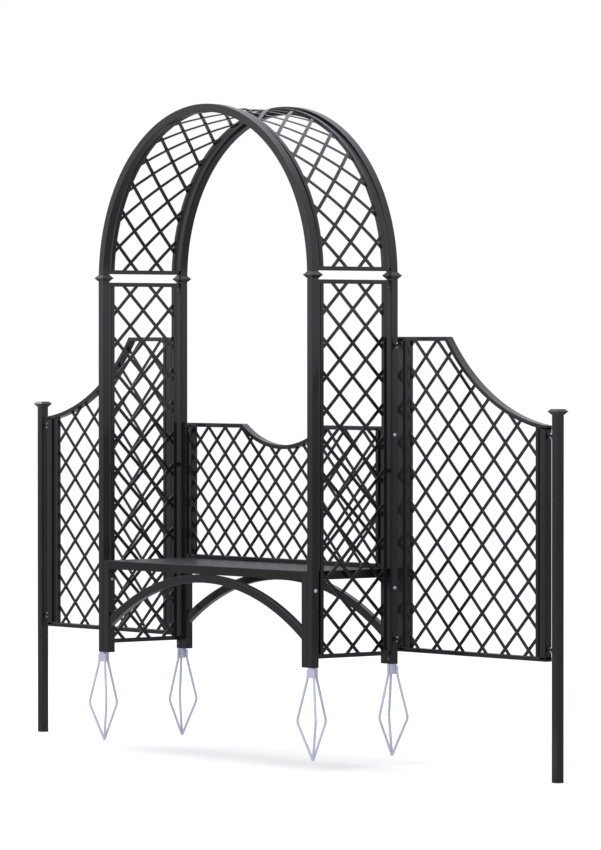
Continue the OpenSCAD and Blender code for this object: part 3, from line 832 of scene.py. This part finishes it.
def top_rail(mesh, sx, x0, x1):
    """Rail along the wing's top edge, with a mitre where the hollow starts."""
    shape = outline(RAIL, TUBE, RAIL_ROUND)
    rings = [[(sx * x0, HOOP_Y + b, WING_TOP - RAIL / 2 - a) for a, b in shape]]
    for i in range(CURVE_STEPS + 1):
        ring = []
        for a, b in shape:
            r, level = CURVE_R + RAIL / 2 + a, WING_TOP - RAIL / 2 - a
            start = -math.acos((CURVE_Z - level) / r)
            angle = start + (math.asin((x1 - CURVE_X) / r) - start) * i / CURVE_STEPS
            ring.append((sx * (CURVE_X + r * math.sin(angle)), HOOP_Y + b,
                         CURVE_Z - r * math.cos(angle)))
        rings.append(ring)
    skin(mesh, rings)


def wing_frame(side, sx):
    """Two tube members, two stiles, a bottom rail and the top rail."""
    mesh = bmesh.new()
    low = WING_LOW + RAIL / 2
    inner, outer = WING_IN + PACKED_TUBE / 2, WING_OUT - PACKED_TUBE / 2
    stile = outline(RAIL, RAIL, RAIL_ROUND)
    uprights = ((inner, top_edge(inner, RAIL / 2), TUBE_OUTLINE),
                (outer, WING_END_TOP - RAIL / 2, TUBE_OUTLINE),
                (STILE_IN, top_edge(STILE_IN, RAIL / 2), stile),
                (STILE_OUT, top_edge(STILE_OUT, RAIL / 2), stile))
    for x, top, shape in uprights:
        straight(mesh, (sx * x, HOOP_Y, low), (sx * x, HOOP_Y, top), ACROSS, DEEP, shape)
    x0, x1 = WING_IN - GROWN, WING_OUT + GROWN
    straight(mesh, (sx * x0, HOOP_Y, low), (sx * x1, HOOP_Y, low), DEEP, UP,
             outline(TUBE, RAIL, RAIL_ROUND))
    top_rail(mesh, sx, x0, x1)
    return new_piece(mesh, f"wing_frame_{side}", f"wing_{side}", black_paint)


pieces += [wing_frame(side, sx) for side, sx in SIDES]
print("wing frames", len(SIDES))

# %% [markdown]
# The bench back is welded up like a wing: two stiles and a bottom rail, and a top
# rail that dips in the middle between two mitres. The dip is measured by its depth
# and its half width, and the radius of its arc follows from the two.

# %% Frame of the bench back
BACK_TOP, BACK_STILE = 1125.5, 720.0
DIP_DEEP, DIP_HALF, DIP_STEPS = 100.0, 311.0, 40
DIP_R = (DIP_HALF ** 2 + DIP_DEEP ** 2) / (2 * DIP_DEEP)
DIP_Z = BACK_TOP - DIP_DEEP + DIP_R


def dipped_line(a):
    """Points of the line that runs a above the middle of the top rail, from end to end."""
    level, r = BACK_TOP - RAIL / 2 + a, DIP_R + RAIL / 2 - a
    start = math.acos((DIP_Z - level) / r)
    turns = [start * (2 * i / DIP_STEPS - 1) for i in range(DIP_STEPS + 1)]
    dip = [(r * math.sin(t), DIP_Z - r * math.cos(t)) for t in turns]
    return [(-LEG_IN, level)] + dip + [(LEG_IN, level)]


def back_frame():
    """Two stiles, a bottom rail and the dipped top rail."""
    mesh = bmesh.new()
    low, high = SEAT_TOP + RAIL / 2, BACK_TOP - RAIL / 2
    flat = outline(RAIL, TUBE, RAIL_ROUND)
    for _, sx in SIDES:
        straight(mesh, (sx * BACK_STILE, HOOP_Y, low), (sx * BACK_STILE, HOOP_Y, high),
                 ACROSS, DEEP, flat)
    straight(mesh, (-LEG_IN, HOOP_Y, low), (LEG_IN, HOOP_Y, low), UP, DEEP, flat)
    lines = [[(x, HOOP_Y + b, z) for x, z in dipped_line(a)] for a, b in flat]
    skin(mesh, list(zip(*lines)))
    return new_piece(mesh, "back_frame", "arbor", black_paint)


pieces.append(back_frame())
print("radius of the dip", round(DIP_R))

# %% [markdown]
# A lattice has two layers of flat bars that lie on each other, one for each way
# the bars lean. It could be cut from a sheet of diamonds, but then no bar would
# lie over another. Here a bar is followed along its middle line, and it is there
# wherever that line is inside the opening of its frame. Its ends run on into the
# rails.

# %% Bars of a flat lattice
BAR_END, SHORTEST_BAR, BAR_REACH, BAR_ROWS = 10.0, 4, 1500, 14


def runs(inside, u, v, du, dv):
    """Stretches of a line that lie inside an opening, as distances along it."""
    found, start = [], None
    for i in range(-BAR_REACH, BAR_REACH + 1):
        if inside(u + i * du, v + i * dv):
            start = i if start is None else start
        elif start is not None:
            found.append((start, i - 1))
            start = None
    return [(a, b) for a, b in found if b - a > SHORTEST_BAR]


def flat_lattice(node, place, crossing, half, inside):
    """Bars of both layers; place(u, v, w) puts a drawing's point in space, with w its depth."""
    mesh = bmesh.new()
    size = math.hypot(*half)
    for lean in (-1, 1):
        du, dv = half[0] / size, lean * half[1] / size
        for row in range(-BAR_ROWS, BAR_ROWS + 1):
            u, v = crossing[0], crossing[1] + 2 * row * half[1]
            for first, last in runs(inside, u, v, du, dv):
                skin(mesh, [[place(u + t * du - a * dv, v + t * dv + a * du,
                                   lean * BAR_THICK / 2 + b) for a, b in BAR_OUTLINE]
                            for t in (first - BAR_END, last + BAR_END)])
    return new_piece(mesh, node, body_of[node], black_paint)


print("bars run on by", BAR_END)

# %% [markdown]
# The five flat lattices differ in their frame's opening, in half the width and
# height of a diamond, and in one point where two bars cross. All three were
# measured: the wings and the side panels share one mesh, and the bench back has
# smaller diamonds.

# %% Flat lattices in their frames
MESH, BACK_MESH = (80.4, 79.35), (66.0, 65.0)
WING_CROSSING, SIDE_CROSSING, BACK_CROSSING = (975.85, 111.0), (0.0, 1682.7), (0.0, 784.3)
SIDE_HALF, SIDE_LOW, SIDE_HIGH = 184, 62, 1800


def wing_opening(x, z):
    """Inside the wing's frame, in its drawing on the right."""
    return (STILE_IN + RAIL / 2 < x < STILE_OUT - RAIL / 2
            and WING_LOW + RAIL < z < top_edge(x, RAIL))


def side_opening(y, z):
    """Inside a side panel's frame."""
    return abs(y) < SIDE_HALF and SIDE_LOW < z < SIDE_HIGH


def back_opening(x, z):
    """Inside the frame of the bench back, whose top dips."""
    return (abs(x) < BACK_STILE - RAIL / 2 and SEAT_TOP + RAIL < z < BACK_TOP - RAIL
            and math.hypot(x, z - DIP_Z) > DIP_R + RAIL)


for side, sx in SIDES:
    pieces.append(flat_lattice(
        f"wing_lattice_{side}", lambda u, v, w, sx=sx: (sx * u, HOOP_Y + w, v),
        WING_CROSSING, MESH, wing_opening))
    pieces.append(flat_lattice(
        f"side_lattice_{side}", lambda u, v, w, sx=sx: (sx * (ARCH_R + w), u, v),
        SIDE_CROSSING, MESH, side_opening))
pieces.append(flat_lattice(
    "back_lattice", lambda u, v, w: (u, HOOP_Y + w, v), BACK_CROSSING, BACK_MESH, back_opening))
print("flat lattices", 2 * len(SIDES) + 1)

# %% [markdown]
# Round the arch the same lattice lies on a cylinder, so each bar is part of a
# screw line. The bar bends and twists on its way: at every point it stays flat
# against the cylinder, which is how it was welded on.

# %% The lattice round the arch
CELLS, CELL_ANGLE = 16, math.radians(5.625)
ARCH_RAIL_TOP = 32.5
FOOT_ANGLE = math.asin(ARCH_RAIL_TOP / ARCH_R)
PANEL_Y, TWIST_STEP = 192.0, 12


def arch_lattice():
    """Screw bars of two layers between the panel hoops and above the arch rails."""
    mesh = bmesh.new()
    for lean in (-1, 1):
        r = ARCH_R + lean * BAR_THICK / 2
        per_mm = lean * CELL_ANGLE / MESH[0]
        for cell in range(CELLS + 1):
            middle = 2 * cell * CELL_ANGLE
            ends = sorted((angle - middle) / per_mm for angle in (FOOT_ANGLE, math.pi - FOOT_ANGLE))
            y0, y1 = max(ends[0], -PANEL_Y), min(ends[1], PANEL_Y)
            steps = max(2, round((y1 - y0) / TWIST_STEP))
            rings = []
            for i in range(steps + 1):
                y = y0 + (y1 - y0) * i / steps
                angle = middle + per_mm * y
                out = Vector((math.cos(angle), 0, math.sin(angle)))
                along = Vector((-r * per_mm * math.sin(angle), 1,
                                r * per_mm * math.cos(angle))).normalized()
                across = along.cross(out)
                at = Vector((0, y, SPRING)) + r * out
                rings.append([at + a * across + b * out for a, b in BAR_OUTLINE])
            skin(mesh, rings)
    return new_piece(mesh, "arch_lattice", "arbor", black_paint)


pieces.append(arch_lattice())
print("screw bars", 2 * (CELLS + 1))

# %% [markdown]
# Each ground spike is a socket with three rods of round steel. A rod runs down
# the side of the socket, spreads, and comes back to the tip, and it was bent cold,
# so its corners are eased. The photograph shows rods of about 12 mm. A curve with
# a round bevel would do as well, but with rings of points the rods are made like
# every other piece of the bench.

# %% Round bars with eased corners
EASE, EASE_STEPS, ROD_SIDES = 16.0, 4, 14


def eased(points):
    """A path through points whose corners are cut to short curves."""
    path = [points[0]]
    for before, corner, after in zip(points, points[1:], points[2:]):
        a = corner + (before - corner).normalized() * EASE
        b = corner + (after - corner).normalized() * EASE
        for step in range(EASE_STEPS + 1):
            t = step / EASE_STEPS
            path.append(a.lerp(corner, t).lerp(corner.lerp(b, t), t))
    return path + [points[-1]]


def circle(at, radius, u, v, sides):
    """Points of a circle in the plane of u and v."""
    turns = [2 * math.pi * k / sides for k in range(sides)]
    return [at + radius * (math.cos(t) * u + math.sin(t) * v) for t in turns]


def round_bar(mesh, path, across, radius):
    """Round bar along a path that lies in one plane; across is square to that plane."""
    rings = []
    for i, at in enumerate(path):
        along = (path[min(i + 1, len(path) - 1)] - path[max(i - 1, 0)]).normalized()
        rings.append(circle(at, radius, across, along.cross(across), ROD_SIDES))
    skin(mesh, rings)


print("corners eased by", EASE)

# %% [markdown]
# One rod lies on the inner side of its socket, front to back, and the other two
# are a third of a turn away, on its left and right sides. All are let into the
# socket's faces by a little, as a weld would do it.

# %% Ground spikes
SOCKET, SOCKET_WALL, SOCKET_ROUND, SOCKET_BORE_ROUND = 33.4, 2.0, 2.0, 0.5
SOCKET_OUT, SOCKET_IN = 48.0, 118.0
ROD_R, ROD_LET_IN, ROD_START = 6.0, 0.4, 9.0
ROD_WIDE, ROD_BEND, ROD_TIP = 80.0, 254.0, 435.0
ROD_TURNS = (90, -30, -150)


def ground_spike(node, sx, sy):
    """Socket tube with three bent rods on its outer faces."""
    mesh = bmesh.new()
    middle = Vector((sx * ARCH_R, sy * HOOP_Y, 0))
    outside = outline(SOCKET, SOCKET, SOCKET_ROUND)
    bore = outline(SOCKET - 2 * SOCKET_WALL, SOCKET - 2 * SOCKET_WALL, SOCKET_BORE_ROUND)
    levels = ((outside, -SOCKET_OUT), (outside, SOCKET_IN), (bore, SOCKET_IN), (bore, -SOCKET_OUT))
    skin(mesh, [[middle + Vector((a, b, z)) for a, b in shape] for shape, z in levels], loop=True)
    beside = SOCKET / 2 + ROD_R - ROD_LET_IN
    for angle in ROD_TURNS:
        heading = math.radians(angle)
        c, s = math.cos(heading), math.sin(heading)
        way, reach = Vector((c, -sy * s, 0)), beside / max(abs(c), abs(s))
        points = [middle + r * way - Vector((0, 0, z)) for r, z in
                  ((reach, ROD_START), (reach, SOCKET_OUT), (ROD_WIDE, ROD_BEND), (0.0, ROD_TIP))]
        round_bar(mesh, eased(points), Vector((-way.y, way.x, 0)), ROD_R)
    piece = new_piece(mesh, node, "arbor", galvanised)
    return piece


for end, sy in ENDS:
    for side, sx in SIDES:
        pieces.append(ground_spike(f"spike_{end}_{side}", sx, sy))
print("spikes", len(ENDS) * len(SIDES))

# %% [markdown]
# Six long bolts hold the bench between the posts. Their domed heads are the
# brightest points on the black frame, and at the size they have in the photograph
# they are 18 mm across. Each is turned like work on a lathe, from a few radii and
# the distances at which they stand, and the nut is the same with six sides.

# %% Bench bolts
HEAD_R, HEAD_HIGH, HEAD_FLAT_R = 9.0, 7.0, 0.6
SHANK_R, SHANK_PAST, NUT_R, NUT_THICK = 4.0, 8.0, 7.5, 6.0
POST_FACE, LEG_FACE, LET_IN = ARCH_R + TUBE / 2, LEG_IN - GROWN, 0.5
LEG_BOLT_Z, BACK_BOLT_Z = 361.0, 1086.0
DOME_STEPS, HEAD_SIDES, SHANK_SIDES, NUT_SIDES = 6, 28, 16, 6


def turned(mesh, at, way, profile, sides):
    """Turned shape: profile is pairs of a radius and a distance along way."""
    side = Vector((0, 0, 1)).cross(way).normalized()
    skin(mesh, [circle(at + d * way, r, side, way.cross(side), sides) for r, d in profile])


def bench_bolts():
    """Domed head outside the post, shank through post and leg, nut inside."""
    mesh = bmesh.new()
    grip = POST_FACE - LEG_FACE
    turns = [math.radians(90 / DOME_STEPS * i) for i in range(DOME_STEPS)]
    dome = [(HEAD_R * math.cos(t), HEAD_HIGH * math.sin(t)) for t in turns]
    head = [(HEAD_R, -LET_IN)] + dome + [(HEAD_FLAT_R, HEAD_HIGH)]
    shank = [(SHANK_R, 0.0), (SHANK_R, -grip - SHANK_PAST)]
    nut = [(NUT_R, -grip + LET_IN), (NUT_R, -grip - NUT_THICK)]
    for _, sx in SIDES:
        for y, z in ((-HOOP_Y, LEG_BOLT_Z), (HOOP_Y, LEG_BOLT_Z), (HOOP_Y, BACK_BOLT_Z)):
            at, way = Vector((sx * POST_FACE, y, z)), Vector((sx, 0, 0))
            turned(mesh, at, way, head, HEAD_SIDES)
            turned(mesh, at, way, shank, SHANK_SIDES)
            turned(mesh, at, way, nut, NUT_SIDES)
    piece = new_piece(mesh, "bench_bolts", "arbor", bolt_zinc)
    return piece


pieces.append(bench_bolts())
print("pieces made", len(pieces))

# %% [markdown]
# Last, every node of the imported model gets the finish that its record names, so
# that collars, caps, lugs and small rails match the pieces made above. The panel
# bolts are the one exception, with their zinc in the shade.

# %% Every node gets its finish
FINISHES = {"black_paint": black_paint, "seat_paint": seat_paint,
            "galvanised": galvanised, "bolt_steel": bolt_zinc}
SHADED_NODE = "panel_bolts"
slots = {row["node"]: row["material_slot"] for row in frame["record"]["subparts"]}
for name, thing in nodes.items():
    thing.data.materials.clear()
    thing.data.materials.append(shaded_zinc if name == SHADED_NODE else FINISHES[slots[name]])
print("finished", len(nodes), "nodes")
